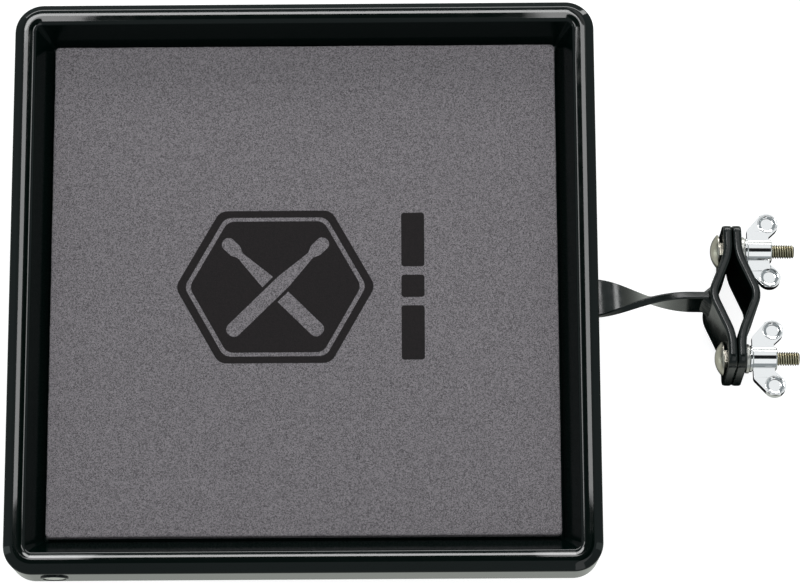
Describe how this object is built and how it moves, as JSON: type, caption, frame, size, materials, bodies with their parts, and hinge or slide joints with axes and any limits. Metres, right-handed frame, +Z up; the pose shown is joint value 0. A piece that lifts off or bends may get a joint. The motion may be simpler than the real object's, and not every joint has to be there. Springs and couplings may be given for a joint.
{
  "type": "clamp-on percussion tray",
  "caption": "Padded square tray on a twisted flat bar, with a bolted two-jaw pole clamp closed by wing nuts.",
  "frame": {"origin": "centre of the mat's top face, the playing surface", "axes": "+Z up out of the mat, +X towards the bar and clamp, +Y towards the tray's rear side"},
  "size_m": [0.4093, 0.3059, 0.049],
  "materials": {
    "tray_plastic": "glossy black moulded plastic",
    "mat_rubber": "matt grey speckled foam rubber with a black print",
    "badge_plate": "satin silver",
    "painted_steel": "black powder coat",
    "nickel_steel": "satin nickel plate",
    "zinc_steel": "zinc plate",
    "chrome_casting": "polished chrome plate"
  },
  "bodies": {
    "tray": {"tray_shell": "tray_plastic", "pad_mat": "mat_rubber", "badge": "badge_plate", "support_bar": "painted_steel", "weld_rear": "painted_steel", "weld_front": "painted_steel", "inner_jaw": "painted_steel", "carriage_bolt_upper": "nickel_steel", "carriage_bolt_lower": "nickel_steel", "fixing_screw_1": "zinc_steel", "fixing_screw_2": "zinc_steel", "fixing_screw_3": "zinc_steel", "fixing_screw_4": "zinc_steel", "fixing_washer_1": "zinc_steel", "fixing_washer_2": "zinc_steel", "fixing_washer_3": "zinc_steel", "fixing_washer_4": "zinc_steel", "fixing_nut_1": "zinc_steel", "fixing_nut_2": "zinc_steel", "fixing_nut_3": "zinc_steel", "fixing_nut_4": "zinc_steel"},
    "clamp_jaw": {"outer_jaw": "painted_steel", "washer_upper": "zinc_steel", "washer_lower": "zinc_steel"},
    "nut_upper": {"wing_nut_upper": "chrome_casting"},
    "nut_lower": {"wing_nut_lower": "chrome_casting"}
  },
  "joints": [
    {"name": "jaw_slide", "type": "slide", "parent": "tray", "child": "clamp_jaw", "axis": [0.9991, 0, -0.0419], "range_m": [0, 0.00945]},
    {"name": "nut_upper_spin", "type": "hinge", "parent": "clamp_jaw", "child": "nut_upper", "pos_m": [0.23034, 0.02202, -0.0175], "axis": [0.9991, 0, -0.0419], "range_deg": [0, 2680]},
    {"name": "nut_lower_spin", "type": "hinge", "parent": "clamp_jaw", "child": "nut_lower", "pos_m": [0.23065, -0.03773, -0.01017], "axis": [0.9991, 0, -0.0419], "range_deg": [0, 2680]}
  ],
  "couplings": [
    {"joint": "nut_upper_spin", "follows": "jaw_slide", "rad_per_m": 4947.4},
    {"joint": "nut_lower_spin", "follows": "jaw_slide", "rad_per_m": 4947.4}
  ]
}
